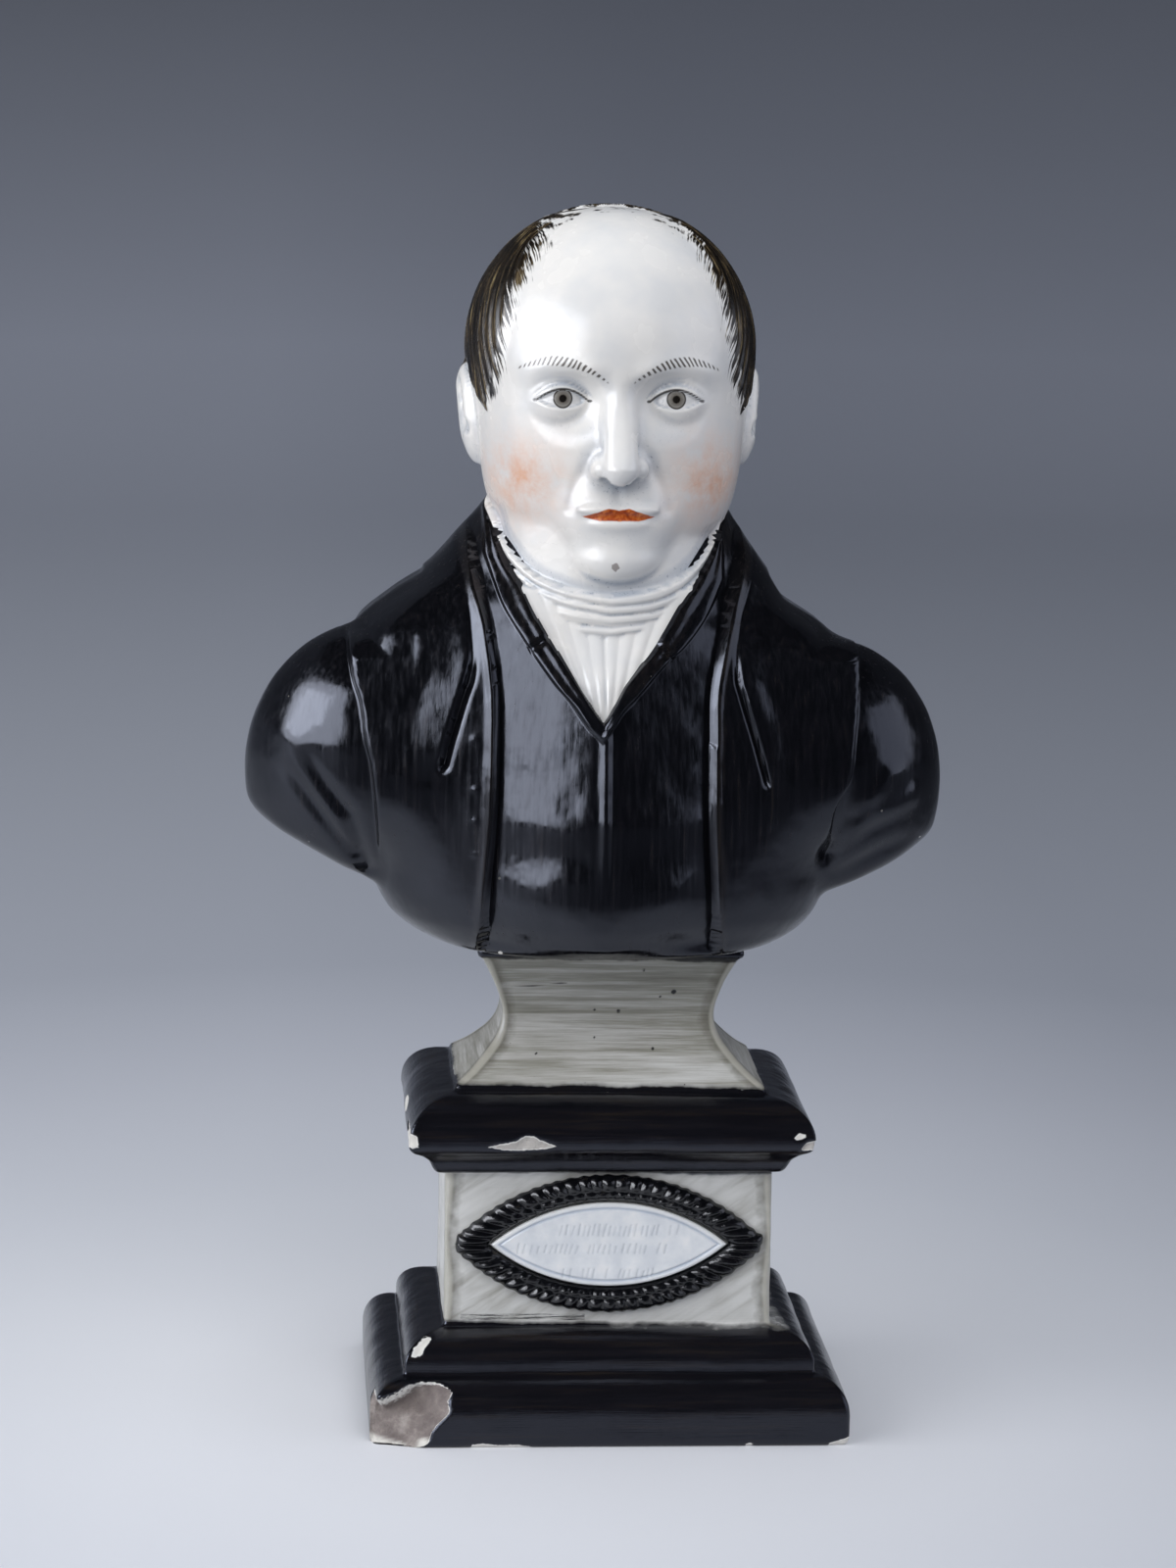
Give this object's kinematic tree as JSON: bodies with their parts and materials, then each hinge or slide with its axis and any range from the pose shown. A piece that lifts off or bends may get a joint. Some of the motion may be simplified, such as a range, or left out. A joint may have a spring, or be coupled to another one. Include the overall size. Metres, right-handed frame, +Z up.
{
  "type": "glazed earthenware portrait bust",
  "caption": "Painted earthenware portrait bust in a coat and neckcloth, on a moulded pedestal with a pointed-oval tablet, for standing on a shelf or mantelpiece.",
  "frame": {"origin": "middle of the flat underside of the pedestal", "axes": "+Z up, the figure faces -Y, +X is to the right of someone looking at it"},
  "size_m": [0.1845, 0.0944, 0.321],
  "materials": {
    "bust_glaze": "glossy black enamel on the coat, white glaze on the head and neckcloth",
    "pedestal_glaze": "brushed grey wash and glossy black enamel",
    "tablet_glaze": "glossy white glaze",
    "border_enamel": "glossy black enamel"
  },
  "bodies": {
    "root": {"bust": "bust_glaze", "pedestal": "pedestal_glaze", "plaque": "tablet_glaze", "plaque_border": "border_enamel"}
  },
  "joints": []
}
